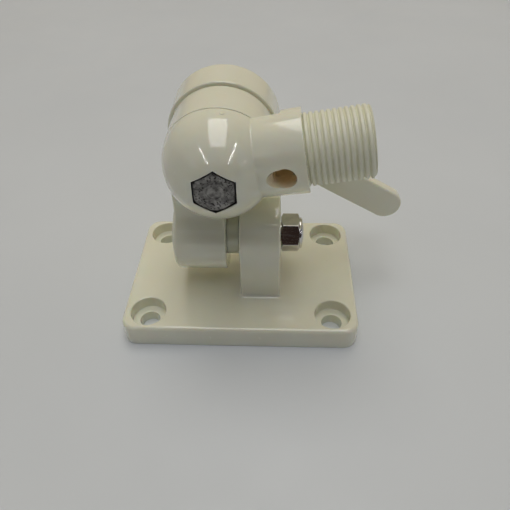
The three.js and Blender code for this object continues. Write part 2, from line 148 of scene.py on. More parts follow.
def rounded(corners, closed=False):
    """Points along corners (x, y, radius), each corner rounded by its radius."""
    points = []
    count = len(corners)
    for i, (x, y, radius) in enumerate(corners):
        at = Vector((x, y))
        if radius == 0 or (not closed and i in (0, count - 1)):
            points.append(at)
            continue
        back = (Vector(corners[i - 1][:2]) - at).normalized()
        ahead = (Vector(corners[(i + 1) % count][:2]) - at).normalized()
        angle = back.angle(ahead)
        centre = at + (back + ahead).normalized() * (radius / math.sin(angle / 2))
        reach = radius / math.tan(angle / 2)
        start = at + back * reach - centre
        sweep = start.angle_signed(at + ahead * reach - centre)
        steps = max(2, round(ARC_STEPS * abs(sweep) / QUARTER_TURN))
        for k in range(steps + 1):
            turned = Matrix.Rotation(-sweep * k / steps, 2) @ start
            points.append(centre + turned)
    return points


def arc(centre, radius, start, end, steps):
    """Points on an arc between two angles in degrees."""
    points = []
    for k in range(steps + 1):
        angle = math.radians(start + (end - start) * k / steps)
        points.append(Vector(centre) + radius * Vector((math.cos(angle), math.sin(angle))))
    return points


def hexagon(across_flats, turn=0.0):
    """Corners with a small radius; at turn 0 two flats face +X and -X."""
    corner = across_flats / math.sqrt(3)
    softness = 0.35
    corners = []
    for i in range(6):
        angle = turn + math.radians(30 + 60 * i)
        corners.append((corner * math.cos(angle), corner * math.sin(angle), softness))
    return rounded(corners, closed=True)


def inset(outline, distance):
    """A closed anticlockwise outline moved inwards."""
    least = 0.3                             # keeps a sharp corner from moving too far
    moved = []
    for i, at in enumerate(outline):
        back = (at - outline[i - 1]).normalized()
        ahead = (outline[(i + 1) % len(outline)] - at).normalized()
        normal = Vector((-back.y - ahead.y, back.x + ahead.x)).normalized()
        spread = max(least, normal.dot(Vector((-ahead.y, ahead.x))))
        moved.append(at + normal * distance / spread)
    return moved


# ---------------------------------------------------------------- solids

# Where a solid's own X, Y and Z point. All but MIRRORED_Y are plain turns.
UP = Matrix.Identity(3)
ALONG_X = Matrix(((0, 0, 1), (1, 0, 0), (0, 1, 0)))       # own X to Y, Y to Z, Z to X
ALONG_Y = Matrix(((0, 1, 0), (0, 0, 1), (1, 0, 0)))       # own X to Z, Y to X, Z to Y
ALONG_MINUS_Y = Matrix(((1, 0, 0), (0, 0, -1), (0, 1, 0)))   # own X to X, Y to Z, Z to -Y
ALONG_MINUS_X = Matrix(((0, 0, -1), (1, 0, 0), (0, -1, 0)))  # own X to Y, Y to -Z, Z to -X
MIRRORED_Y = Matrix(((1, 0, 0), (0, 0, 1), (0, 1, 0)))       # own X to X, Y to Z, Z to Y


def solid(points, faces, axes=UP, at=(0, 0, 0)):
    """A closed mesh object in millimetres, with its faces turned outwards."""
    mesh = bpy.data.meshes.new("solid")
    mesh.from_pydata([axes @ Vector(p) + Vector(at) for p in points], [], faces)
    work = bmesh.new()
    work.from_mesh(mesh)
    bmesh.ops.remove_doubles(work, verts=work.verts, dist=1e-5)
    bmesh.ops.recalc_face_normals(work, faces=work.faces)
    work.to_mesh(mesh)
    work.free()
    body = bpy.data.objects.new("solid", mesh)
    bpy.context.scene.collection.objects.link(body)
    return body


def stacked(rings, axes=UP, at=(0, 0, 0)):
    """A solid through rings of equal length, with a face over each end."""
    size = len(rings[0])
    points = [p for ring in rings for p in ring]
    faces = [list(range(size)), list(range(len(points) - size, len(points)))]
    for level in range(len(rings) - 1):
        low = level * size
        for i in range(size):
            j = (i + 1) % size
            faces.append([low + i, low + j, low + size + j, low + size + i])
    return solid(points, faces, axes, at)


def lathe(profile, axes=UP, at=(0, 0, 0)):
    """A solid turned about its own Z: profile is (radius, height) from axis to axis. A flat face
    closes each end, and the points on the axis only tell rounded() which way it lies."""
    rings = []
    for radius, height in profile:
        if radius == 0:
            continue
        ring = []
        for i in range(TURN_STEPS):
            angle = 2 * math.pi * i / TURN_STEPS
            ring.append((radius * math.cos(angle), radius * math.sin(angle), height))
        rings.append(ring)
    return stacked(rings, axes, at)


def rod(radius, low, high, axes=UP, at=(0, 0, 0), low_edge=0.0, high_edge=0.0, high_radius=None):
    """A cylinder or a slight cone with rounded rims."""
    top = radius if high_radius is None else high_radius
    profile = rounded([
        (0, low, 0), (radius, low, low_edge), (top, high, high_edge), (0, high, 0),
    ])
    return lathe(profile, axes, at)


def washer_ring(inner, outer, low, high, axes, at, edge=0.12):
    """A ring with a bore, whose four rims are rounded."""
    section = rounded([
        (inner, low, edge), (outer, low, edge), (outer, high, edge), (inner, high, edge),
    ], closed=True)
    size = len(section)
    points = []
    for i in range(TURN_STEPS):
        angle = 2 * math.pi * i / TURN_STEPS
        points.extend((r * math.cos(angle), r * math.sin(angle), h) for r, h in section)
    faces = []
    for i in range(TURN_STEPS):
        start, after = i * size, ((i + 1) % TURN_STEPS) * size
        for k in range(size):
            m = (k + 1) % size
            faces.append([start + k, after + k, after + m, start + m])
    return solid(points, faces, axes, at)


def slab(outline, low, high, axes=UP, at=(0, 0, 0), low_edge=0.0, high_edge=0.0):
    """A prism whose two rims are rounded."""
    rings = []
    for edge, height, side in ((low_edge, low, 1), (high_edge, high, -1)):
        steps = ARC_STEPS if edge else 0
        levels = []
        for k in range(steps + 1):
            turn = QUARTER_TURN * (k / steps if steps else 1)
            ring = inset(outline, edge * (1 - math.sin(turn)))
            levels.append([(p.x, p.y, height + side * edge * (1 - math.cos(turn))) for p in ring])
        rings.extend(levels if side > 0 else reversed(levels))
    return stacked(rings, axes, at)


def threaded_rod(radius, depth, pitch, low, high, axes=UP, at=(0, 0, 0), steps=96, rows=12):
    """A right-handed thread about its own Z, with a plain radial wall at each end."""
    flank = 0.62                            # the share of half a pitch that slopes
    softness = 0.6                          # from 0, a straight flank, to 1, a fully eased one
    count = (math.ceil((high - low) / pitch) + 1) * rows
    points = []
    for row in range(count + 1):
        crest = 1 - abs(2 * ((row / rows) % 1) - 1)
        rise = min(1.0, crest / flank)
        rise = (1 - softness) * rise + softness * rise * rise * (3 - 2 * rise)
        r = radius - depth * (1 - rise)
        for i in range(steps):
            height = low - pitch + pitch * (row / rows + i / steps)
            angle = 2 * math.pi * i / steps
            points.append((r * math.cos(angle), r * math.sin(angle), height))
    faces = []
    for row in range(count):
        for i in range(steps):
            if i + 1 < steps:
                faces.append([row * steps + i, row * steps + i + 1,
                              (row + 1) * steps + i + 1, (row + 1) * steps + i])
            elif row + 1 + rows <= count:
                faces.append([row * steps + i, (row + rows) * steps,
                              (row + rows + 1) * steps, (row + 1) * steps + i])
    # An end's rim runs once round and then back along the wall.
    first = list(range(steps)) + [row * steps for row in range(rows, 0, -1)]
    last_row = count - rows
    last = [(last_row + k) * steps + steps - 1 for k in range(rows + 1)]
    last += [count * steps + i for i in range(steps - 2, -1, -1)]
    for loop, height in ((first, low - pitch), (last, points[-1][2])):
        points.append((0, 0, height))
        centre = len(points) - 1
        for i, vertex in enumerate(loop):
            faces.append([vertex, loop[(i + 1) % len(loop)], centre])
    return solid(points, faces, axes, at)


def combined(operation, body, tools):
    """body after the operation with each tool. The tools are used up."""
    for tool in tools:
        modifier = body.modifiers.new("cut", "BOOLEAN")
        modifier.operation = operation
        modifier.solver = "MANIFOLD"
        modifier.object = tool
    bpy.context.view_layer.update()
    graph = bpy.context.evaluated_depsgraph_get()
    mesh = bpy.data.meshes.new_from_object(body.evaluated_get(graph))
    body.modifiers.clear()
    body.data = mesh
    for tool in tools:
        bpy.data.objects.remove(tool)
    return body


def joined(body, *tools):
    return combined("UNION", body, tools)


def cut(body, *tools):
    return combined("DIFFERENCE", body, tools)


def common(body, *tools):
    return combined("INTERSECT", body, tools)


def drooped(body):
    """body turned about the swivel axis, down to where the lever rests."""
    droop = Matrix.Rotation(LEVER_DROOP, 4, "Y")
    body.data.transform(Matrix.Translation(SWIVEL) @ droop @ Matrix.Translation(-SWIVEL))
    return body


SHARP_ANGLE = math.radians(32)
FLAT_WEIGHT = 90                        # how far a bevel's normals lean to the flats beside it


def finished_piece(body, name, node, owner, material, areas=()):
    """Turns a built solid into the piece that stands for a CAD node. Each of areas is another
    material, and a test that tells from a face's middle whether the face has it."""
    body.name = name
    body.data.name = name
    body.data.materials.clear()
    body.data.materials.append(material)
    for index, (lining, inside) in enumerate(areas, start=1):
        body.data.materials.append(lining)
        for face in body.data.polygons:
            if inside(face.center):
                face.material_index = index
    body.data.transform(Matrix.Scale(MM, 4))
    body.data.shade_smooth()
    body.data.set_sharp_from_angle(angle=SHARP_ANGLE)
    normals = body.modifiers.new("even_flats", "WEIGHTED_NORMAL")
    normals.keep_sharp = True
    normals.weight = FLAT_WEIGHT
    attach(body, owner)
    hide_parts(node)
    return body


# ---------------------------------------------------------------- materials


class Shader:
    """A Principled material and short ways to add the nodes that feed it."""

    def __init__(self, name):
        self.material = bpy.data.materials.new(name)
        self.material.use_nodes = True
        self.tree = self.material.node_tree
        self.surface = next(n for n in self.tree.nodes if n.type == "BSDF_PRINCIPLED")
        self.place = self.tree.nodes.new("ShaderNodeTexCoord").outputs["Object"]

    def set(self, **values):
        for name, value in values.items():
            self.surface.inputs[name.replace("_", " ")].default_value = value

    def link(self, output, name):
        self.tree.links.new(output, self.surface.inputs[name])

    def node(self, kind, values, **settings):
        made = self.tree.nodes.new(kind)
        for name, value in settings.items():
            setattr(made, name, value)
        for name, value in values.items():
            if isinstance(value, bpy.types.NodeSocket):
                self.tree.links.new(value, made.inputs[name])
            else:
                made.inputs[name].default_value = value
        return made

    def stretched(self, scale):
        return self.node("ShaderNodeMapping", {"Vector": self.place, "Scale": scale}).outputs[0]

    def noise(self, scale, detail=3.0, vector=None):
        values = {"Vector": vector or self.place, "Scale": scale, "Detail": detail}
        return self.node("ShaderNodeTexNoise", values).outputs["Fac"]

    def mixed(self, factor, low, high):
        """A colour between two. A Mix node's inputs 0, 6 and 7 are its factor and its colours."""
        return self.node("ShaderNodeMix", {0: factor, 6: low, 7: high}, data_type="RGBA").outputs[2]

    def ramp(self, value, low, high, start, end):
        """A value or a colour that goes from low to high while the input goes from start to end."""
        if isinstance(low, tuple):
            return self.mixed(self.ramp(value, 0.0, 1.0, start, end), (*low, 1), (*high, 1))
        values = {"Value": value, "From Min": start, "From Max": end, "To Min": low, "To Max": high}
        return self.node("ShaderNodeMapRange", values).outputs["Result"]

    def tinted(self, colour, value, tint, start, end):
        """colour with tint mixed in where the value runs from start to end."""
        return self.mixed(self.ramp(value, 0.0, 1.0, start, end), colour, (*tint, 1))

    def product(self, first, second):
        values = {0: first, 1: second}
        return self.node("ShaderNodeMath", values, operation="MULTIPLY").outputs[0]

    def bump(self, height, strength, distance, under=None):
        values = {"Height": height, "Strength": strength, "Distance": distance}
        if under:
            values["Normal"] = under
        return self.node("ShaderNodeBump", values).outputs["Normal"]


def ivory_nylon(name="ivory_nylon", gloss=0.9, deep=None, start=0.0, end=0.0, blur=0.02):
    """Glossy moulded nylon: faint flow marks, a fine orange peel, hairline scuffs and a few specks.
    In a hollow, its colour turns to deep as Y goes from start to end; deep is painted light and shade
    there, not the nylon's own colour. blur is its coat's roughness."""
    made = Shader(name)
    made.set(IOR=1.53, Coat_Weight=gloss, Coat_Roughness=blur, Coat_IOR=1.5)
    made.set(Subsurface_Weight=0.4 * gloss, Subsurface_Scale=0.003)
    made.set(Subsurface_Radius=(1.0, 0.72, 0.40))
    flow = made.noise(55, 4, made.stretched((1.0, 1.0, 0.45)))
    colour = made.ramp(flow, (0.785, 0.785, 0.625), (0.810, 0.810, 0.652), 0.35, 0.65)
    blush = made.noise(16, 2)
    colour = made.tinted(colour, blush, (0.765, 0.750, 0.590), 0.50, 0.90)
    specks = made.node("ShaderNodeTexVoronoi", {"Vector": made.place, "Scale": 260.0})
    dots = made.ramp(specks.outputs["Distance"], 1.0, 0.0, 0.02, 0.05)
    few = made.ramp(made.noise(90, 1), 0.0, 0.8, 0.60, 0.64)
    colour = made.tinted(colour, made.product(dots, few), (0.40, 0.33, 0.20), 0.0, 1.0)
    # Painted light and shade: a hollow's faces are tinted towards deep along Y, a painted shadow in
    # the bolt's pocket and a painted warm glow in the cable entry.
    if deep:
        depth = made.node("ShaderNodeSeparateXYZ", {"Vector": made.place}).outputs["Y"]
        colour = made.tinted(colour, depth, deep, start, end)
    made.link(colour, "Base Color")
    scuffs = made.noise(420, 5, made.stretched((1.0, 6.0, 0.6)))
    clean, scuffed = 0.44 - 0.4 * gloss, 0.57 - 0.3 * gloss
    made.link(made.ramp(scuffs, clean, scuffed, 0.45, 0.75), "Roughness")
    peel = made.bump(made.noise(480, 2), 0.05, 0.00003)
    made.link(made.bump(scuffs, 0.02, 0.00002, peel), "Normal")
    return made.material


def stainless_steel():
    """Cold-formed stainless: fine drawn lines, a light tarnish and a few small pits."""
    made = Shader("stainless_steel")
    made.set(Metallic=1.0, Anisotropic=0.2)
    patches = made.noise(240, 4)
    colour = made.ramp(patches, (0.62, 0.605, 0.575), (0.74, 0.73, 0.70), 0.35, 0.65)
    pits = made.noise(2400, 2)
    colour = made.tinted(colour, pits, (0.16, 0.15, 0.14), 0.72, 0.80)
    made.link(colour, "Base Color")
    lines = made.noise(700, 3, made.stretched((0.35, 1.0, 5.0)))
    made.link(made.ramp(lines, 0.09, 0.22, 0.35, 0.68), "Roughness")
    made.link(made.bump(lines, 0.03, 0.00002), "Normal")
    return made.material


def worn_steel():
    """The swivel bolt: dull and mottled all over, with dark pits that fade at its head's middle."""
    made = Shader("worn_steel")
    made.set(Metallic=0.75)
    patches = made.noise(620, 5)
    colour = made.ramp(patches, (0.130, 0.125, 0.120), (0.310, 0.305, 0.29), 0.36, 0.64)
    pits = made.noise(1500, 4)
    face = (Vector((SWIVEL.x, PIVOT_LOW.y, SWIVEL.z)) + SWIVEL_BOLT_SAG) * MM
    from_middle = made.node("ShaderNodeVectorMath", {0: made.place, 1: face}, operation="DISTANCE")
    middle_end, ring_start = 0.0024, 0.0036
    ring = made.ramp(from_middle.outputs["Value"], 0.2, 1.0, middle_end, ring_start)
    dark = made.product(made.ramp(pits, 0.0, 1.0, 0.54, 0.62), ring)
    colour = made.tinted(colour, dark, (0.03, 0.028, 0.026), 0.0, 1.0)
    made.link(colour, "Base Color")
    made.link(made.ramp(patches, 0.50, 0.34, 0.35, 0.65), "Roughness")
    made.link(made.bump(pits, 0.3, 0.00006, made.bump(patches, 0.2, 0.00005)), "Normal")
    return made.material


def insert_nylon():
    """Matt natural nylon with the marks of the thread that it grips."""
    made = Shader("insert_nylon")
    made.set(Roughness=0.5, Subsurface_Weight=0.15, Subsurface_Scale=0.001)
    cloud = made.noise(800, 3)
    made.link(made.ramp(cloud, (0.80, 0.80, 0.75), (0.90, 0.90, 0.86), 0.35, 0.65), "Base Color")
    made.link(made.bump(cloud, 0.15, 0.00003), "Normal")
    return made.material


def pale_floor():
    """A plain pale board with a very faint mottle."""
    made = Shader("pale_floor")
    cloud = made.noise(9, 4)
    made.link(made.ramp(cloud, (0.650, 0.685, 0.705), (0.680, 0.715, 0.735), 0.3, 0.7), "Base Color")
    made.link(made.ramp(made.noise(40, 3), 0.45, 0.6, 0.3, 0.7), "Roughness")
    made.link(made.bump(made.noise(900, 3), 0.05, 0.0001), "Normal")
    return made.material


NYLON = ivory_nylon()
# Painted shade: inside the bolt's pocket the nylon turns nearly black from just inside its mouth
# inwards, standing in for the shadow in the gap round the bolt's head.
POCKET_SHADE_NYLON = ivory_nylon(
    "pocket_painted_shade", gloss=0.3, deep=(0.020, 0.017, 0.014), start=-0.0262, end=-0.0250,
)
# Painted light: inside the cable entry the nylon turns a warm orange deeper in, standing in for light
# that shines through the thin walls and bounces round the hole.
ENTRY_PAINTED_GLOW = ivory_nylon(
    "entry_painted_glow", gloss=0.6, deep=(0.96, 0.76, 0.46), start=-0.0235, end=-0.0170,
)
THREAD_NYLON = ivory_nylon("thread_nylon", gloss=0.15)
PLATE_NYLON = ivory_nylon("plate_nylon", blur=0.2)
STEEL = stainless_steel()
WORN_STEEL = worn_steel()
INSERT = insert_nylon()

# ---------------------------------------------------------------- fasteners

METRIC_PITCH = 1.25
METRIC_DEPTH = 0.62                     # of the thread
GROOVE_RADIUS = 5.2                     # in the locknut, for its nylon ring
GROOVE_LOW = 5.9
GROOVE_HIGH = 7.5


def hex_block(across_flats, low, high, axes, at, high_cut=True, turn=0.0):
    """A hexagonal block with its corners turned off by a cone at one end or both."""
    face = across_flats / 2 - 0.2
    drop = 1.5
    wide = face + 2.6                       # with drop, a cone of 30 degrees
    end = [(wide, high - drop), (face, high)] if high_cut else [(wide, high)]
    profile = [(0, low), (face, low), (wide, low + drop), *end, (0, high)]
    block = slab(hexagon(across_flats, turn), low, high, axes, at)
    return common(block, lathe(profile, axes, at))


def machine_bolt(at, axes, length, thread_length, across_flats=HEX_HEAD):
    """A bolt from its head's underside at 0, along its own Z, with a ring in its head's dish."""
    top = -HEAD_HEIGHT
    head = hex_block(across_flats, top, 0, axes, at, high_cut=False, turn=QUARTER_TURN)
    rim, floor = 4.5, top + 0.35
    ring_inner, ring_outer = 2.2, 3.3
    dish = lathe(rounded([
        (0, top - OVERSHOOT, 0), (rim + 0.3, top - OVERSHOOT, 0), (rim, top, 0.1),
        (rim - 0.5, floor, 0.3), (0, floor, 0),
    ]), axes, at)
    ring = washer_ring(ring_inner, ring_outer, top + 0.1, top + 1.0, axes, at, edge=0.1)
    thread_start = length - thread_length
    shank = rod(BOLT_RADIUS, top / 2, thread_start, axes, at)
    screw = threaded_rod(BOLT_RADIUS, METRIC_DEPTH, METRIC_PITCH, thread_start, length, axes, at)
    clear, chamfer = BOLT_RADIUS + 0.2, 0.8
    tip = lathe([
        (0, thread_start - OVERSHOOT), (clear, thread_start - OVERSHOOT), (clear, length - chamfer),
        (BOLT_RADIUS - chamfer, length), (0, length),
    ], axes, at)
    return joined(cut(head, dish), ring, shank, common(screw, tip))


def tilt_bolt():
    length = BOLT_HIGH.x - BOLT_LOW.x - HEAD_HEIGHT
    at = (BOLT_LOW.x + HEAD_HEIGHT, TILT.y, TILT.z)
    return machine_bolt(at, ALONG_X, length, thread_length=18)


def swivel_bolt():
    length = PIVOT_HIGH.y - PIVOT_LOW.y - HEAD_HEIGHT
    at = Vector((SWIVEL.x, PIVOT_LOW.y + HEAD_HEIGHT, SWIVEL.z)) + SWIVEL_BOLT_SAG
    return machine_bolt(at, ALONG_Y, length, thread_length=14, across_flats=SWIVEL_HEX_HEAD)


def tilt_locknut():
    """A hexagon under a round crimped collar, whose groove holds the nylon ring."""
    at = (NUT_LOW.x, TILT.y, TILT.z)
    height = NUT_HIGH.x - NUT_LOW.x
    hexagon_top = 6.9
    collar_radius, collar_root = 6.0, 3
    mouth = 4.5
    block = hex_block(HEX_HEAD, 0, hexagon_top, ALONG_X, at, turn=QUARTER_TURN)
    crimped = rod(collar_radius, collar_root, height, ALONG_X, at, high_edge=0.9)
    bore = lathe(rounded([
        (0, -OVERSHOOT, 0), (NUT_BORE_RADIUS + 0.9, -OVERSHOOT, 0), (NUT_BORE_RADIUS, 0.5, 0),
        (NUT_BORE_RADIUS, GROOVE_LOW, 0), (GROOVE_RADIUS, GROOVE_LOW, 0),
        (GROOVE_RADIUS, GROOVE_HIGH, 0), (mouth, GROOVE_HIGH, 0.15),
        (mouth, height + OVERSHOOT, 0), (0, height + OVERSHOOT, 0),
    ]), ALONG_X, at)
    return cut(joined(block, crimped), bore)


def tilt_locknut_insert():
    at = (NUT_LOW.x, TILT.y, TILT.z)
    low, high = GROOVE_LOW + GAP, GROOVE_HIGH - GAP
    return washer_ring(NUT_BORE_RADIUS, GROOVE_RADIUS - GAP, low, high, ALONG_X, at)


def lever_nut():
    at = (SWIVEL.x, CAPTIVE_LOW.y, SWIVEL.z)
    height = CAPTIVE_HIGH.y - CAPTIVE_LOW.y
    chamfer = 0.4
    mouth = NUT_BORE_RADIUS + 1.2           # radius of the cutter's wide ends
    block = hex_block(HEX_HEAD, 0, height, ALONG_Y, at)
    bore = lathe([
        (0, -OVERSHOOT), (mouth, -OVERSHOOT), (NUT_BORE_RADIUS, chamfer),
        (NUT_BORE_RADIUS, height - chamfer), (mouth, height + OVERSHOOT), (0, height + OVERSHOOT),
    ], ALONG_Y, at)
    return drooped(cut(block, bore))


def lever_washer():
    outer = (WASHER_HIGH.z - WASHER_LOW.z) / 2
    at = (SWIVEL.x, 0, SWIVEL.z)
    return washer_ring(BOLT_BORE_RADIUS, outer, WASHER_LOW.y, WASHER_HIGH.y, ALONG_Y, at)


def release_spring():
    """Five turns of round wire, swept along its helix."""
    coil_radius, wire_radius, turns = 5.9, 0.58, 5
    sides, steps = 12, 48
    end_room = 1.0
    low, high = SPRING_POCKET_FRONT + end_room, SPRING_POCKET_BACK - end_room
    points = []
    for i in range(turns * steps + 1):
        share = i / (turns * steps)
        angle = share * turns * 2 * math.pi
        outward = Vector((math.cos(angle), 0, math.sin(angle)))
        centre = outward * coil_radius + Vector((0, low + (high - low) * share, 0))
        for k in range(sides):
            turn = 2 * math.pi * k / sides
            ring = outward * math.cos(turn) + Vector((0, 1, 0)) * math.sin(turn)
            points.append(centre + ring * wire_radius)
    rings = [points[i:i + sides] for i in range(0, len(points), sides)]
    return stacked(rings, UP, (SWIVEL.x, 0, SWIVEL.z))


# ---------------------------------------------------------------- face ratchets


def face_teeth(count, inner, outer, depth, axes, at):
    """A cutter of radial V grooves in the face at the solid's own Z = 0."""
    half = math.pi * outer / count
    rise = 0.4                              # how far a cutter stands out of the face
    top = half * (1 + rise / depth)
    cutters = []
    for i in range(count):
        turn = Matrix.Rotation(2 * math.pi * i / count, 3, "Z")
        ends = []
        for y in (inner, outer):
            ends.append([turn @ Vector(p) for p in ((0, y, -depth), (top, y, rise), (-top, y, rise))])
        cutters.append(stacked(ends, axes, at))
    first = cutters.pop(0)
    return joined(first, *cutters)


# ---------------------------------------------------------------- base


def screw_centres():
    places = []
    for opening in RECORD["physics"]["openings"]:
        if opening["name"].startswith("screw_hole"):
            low, high = opening["box_m"]
            places.append(((low[0] + high[0]) / 2 / MM, (low[1] + high[1]) / 2 / MM, 0))
    return places


def screw_hole(at):
    """A counterbore whose rim is softly rounded, over a through hole."""
    wide, narrow = SCREW_HEAD_RADIUS, SCREW_RADIUS
    clear = wide + 3
    return lathe(rounded([
        (0, -OVERSHOOT, 0), (narrow + OVERSHOOT, -OVERSHOOT, 0), (narrow, 0, 0),
        (narrow, SEAT_Z, 0.25), (wide, SEAT_Z, 0.4), (wide, PLATE_TOP, 0.45),
        (clear, PLATE_TOP, 0), (clear, PLATE_TOP + OVERSHOOT, 0), (0, PLATE_TOP + OVERSHOOT, 0),
    ]), UP, at)


def on_plate(point):
    return point.z < PLATE_TOP + MARGIN


def plate():
    x, y = BASE_HIGH.x, BASE_HIGH.y
    outline = rounded([
        (-x, -y, PLATE_CORNER), (x, -y, PLATE_CORNER), (x, y, PLATE_CORNER), (-x, y, PLATE_CORNER),
    ], closed=True)
    return slab(outline, 0, PLATE_TOP, low_edge=0.25, high_edge=1.5)


def post():
    """The upright cheek with its round top, in its own (Y, Z) outline."""
    outline = [Vector((-POST_RADIUS, PLATE_TOP / 2)), Vector((POST_RADIUS, PLATE_TOP / 2))]
    outline += arc((0, TILT.z), POST_RADIUS, 0, 180, 64)
    return slab(outline, POST_LEFT, POST_RIGHT, ALONG_X, low_edge=POST_EDGE, high_edge=POST_EDGE)


def post_foot():
    """The small fillet where the post meets the plate."""
    radius = 1.2
    bite = 0.02                             # how far its top lies inside the post
    root = 0.5                              # how far it reaches down into the plate
    middle = (POST_LEFT + POST_RIGHT) / 2
    half = (POST_RIGHT - POST_LEFT) / 2
    rings = []
    for k in range(ARC_STEPS + 1):
        turn = QUARTER_TURN * k / ARC_STEPS
        out = radius * (1 - math.sin(turn)) - bite
        x, y, corner = half + out, POST_RADIUS + out, POST_EDGE + out
        outline = rounded([
            (-x, -y, corner), (x, -y, corner), (x, y, corner), (-x, y, corner),
        ], closed=True)
        rings.append([(p.x, p.y, PLATE_TOP + radius * (1 - math.cos(turn))) for p in outline])
    sunk = [(x, y, PLATE_TOP - root) for x, y, z in rings[0]]
    return stacked([sunk, *rings], UP, (middle, 0, 0))


TILT_TEETH = {"count": 24, "inner": 4.6, "outer": 7.6, "depth": 0.45}
SWIVEL_TEETH = {"count": 36, "inner": 9.0, "outer": 15.5, "depth": 0.8}


def base_bracket():
    face = POST_LEFT - TILT_TEETH["depth"]
    middle = (0, 0, TILT.z)
    boss = rod(HUB_RADIUS, face, POST_LEFT + OVERSHOOT, ALONG_X, middle)
    boss = cut(boss, face_teeth(**TILT_TEETH, axes=ALONG_MINUS_X, at=(face, 0, TILT.z)))
    bore = rod(BOLT_BORE_RADIUS, BARREL_LEFT, POST_RIGHT + OVERSHOOT, ALONG_X, middle)
    body = joined(plate(), post(), post_foot(), boss)
    return cut(body, bore, *[screw_hole(at) for at in screw_centres()])


# ---------------------------------------------------------------- elbow


def web():
    """The neck between barrel and ring: rounded rectangles stacked up to the swivel axis."""
    left = BARREL_LEFT + 1.1
    right = BARREL_RIGHT - 0.4
    shoulder = TILT.z + 14.5                # where the right side starts to lean out
    flank = math.radians(-30)               # where on the ring it ends
    flank_x = SWIVEL.x + RING_RADIUS * math.cos(flank)
    flank_z = SWIVEL.z + RING_RADIUS * math.sin(flank)
    side = rounded([
        (right, TILT.z, 0), (right, shoulder, 2.5), (flank_x, flank_z, 0), (flank_x, SWIVEL.z, 0),
    ])
    foot = math.radians(35)                 # where on the barrel its flared front and back start
    foot_y = BARREL_RADIUS * math.cos(foot)
    foot_z = TILT.z + BARREL_RADIUS * math.sin(foot)
    top_z = TILT.z + 19                     # where the flare ends
    steepness = 2.2                         # of the flare
    bottom = TILT.z + 6
    edge = 0.9
    count = 60
    rings = []
    for k in range(count + 1):
        z = bottom + (SWIVEL.z - bottom) * k / count
        share = min(1.0, max(0.0, (z - foot_z) / (top_z - foot_z)))
        flare = (1 - share) ** steepness
        front = -(abs(RING_FRONT) + (foot_y - abs(RING_FRONT)) * flare)
        back = RING_BACK + (foot_y - RING_BACK) * flare
        x = side_at(side, z)
        corners = [(left, front), (x, front), (x, back), (left, back)]
        outline = rounded([(u, v, edge) for u, v in corners], closed=True)
        rings.append([(p.x, p.y, z) for p in outline])
    return stacked(rings)


def side_at(side, z):
    """How far right a rising line of points is at a height."""
    for low, high in zip(side, side[1:]):
        if low.y <= z <= high.y and high.y > low.y:
            return low.x + (high.x - low.x) * (z - low.y) / (high.y - low.y)
    return side[-1].x


def bolt_pocket(seat, axes, at, depth):
    """A hexagonal pocket for a bolt's head, open towards the solid's own -Z."""
    return slab(hexagon(HEX_POCKET, QUARTER_TURN), seat - depth, seat + GAP, axes, at)


def elbow_knuckle():
    tilt_at, swivel_at = (0, 0, TILT.z), (SWIVEL.x, 0, SWIVEL.z)
    barrel = rod(BARREL_RADIUS, BARREL_LEFT, BARREL_RIGHT, ALONG_X, tilt_at, 2.0, 0.6)
    ring = rod(RING_RADIUS, RING_FRONT, RING_BACK, ALONG_Y, swivel_at, 0.35, 0.5)
    body = joined(barrel, web(), ring)
    seat = BOLT_LOW.x + HEAD_HEIGHT
    socket = hexagon(HUB_KEY + 2 * GAP, QUARTER_TURN)
    socket_start = BARREL_RIGHT - HUB_KEY_LENGTH - GAP
    return cut(
        body,
        rod(BOLT_BORE_RADIUS, BARREL_LEFT - OVERSHOOT, POST_RIGHT, ALONG_X, tilt_at),
        bolt_pocket(seat, ALONG_X, tilt_at, depth=12),
        slab(socket, socket_start, BARREL_RIGHT + OVERSHOOT, ALONG_X, tilt_at),
        rod(BOLT_BORE_RADIUS, RING_FRONT - OVERSHOOT, RING_BACK + OVERSHOOT, ALONG_Y, swivel_at),
        rod(SPRING_POCKET, RING_FRONT - OVERSHOOT, SPRING_POCKET_BACK, ALONG_Y, swivel_at),
        face_teeth(**SWIVEL_TEETH, axes=ALONG_MINUS_Y, at=(SWIVEL.x, RING_FRONT, SWIVEL.z)),
    )


def tilt_ratchet_hub():
    at = (0, 0, TILT.z)
    face = HUB_HIGH.x + 0.15                # its teeth reach a little further than in the CAD
    seam = 0.05                             # between the disc and the barrel
    disc = rod(HUB_RADIUS, BARREL_RIGHT + seam, face, ALONG_X, at, 0.05, 0.05)
    key = slab(hexagon(HUB_KEY, QUARTER_TURN), HUB_LOW.x, face - TILT_TEETH["depth"], ALONG_X, at)
    return cut(
        joined(disc, key),
        rod(BOLT_BORE_RADIUS, BARREL_LEFT, POST_RIGHT, ALONG_X, at),
        face_teeth(**TILT_TEETH, axes=ALONG_X, at=(face, 0, TILT.z)),
    )


# ---------------------------------------------------------------- head


def ball():
    """The ball, cut off flat just behind its middle, with a softened edge there."""
    back = RING_FRONT - GAP - BALL_CENTRE.y
    edge = math.degrees(math.asin(back / BALL_RADIUS))
    front = -80                             # the bolt's pocket takes away the rest
    rim = BALL_RADIUS * math.cos(math.radians(edge)) - 0.25
    profile = arc((0, 0), BALL_RADIUS, front, edge - 1.0, 96)
    profile += [Vector((rim, back)), Vector((0, back))]
    return lathe(profile, ALONG_Y, BALL_CENTRE)


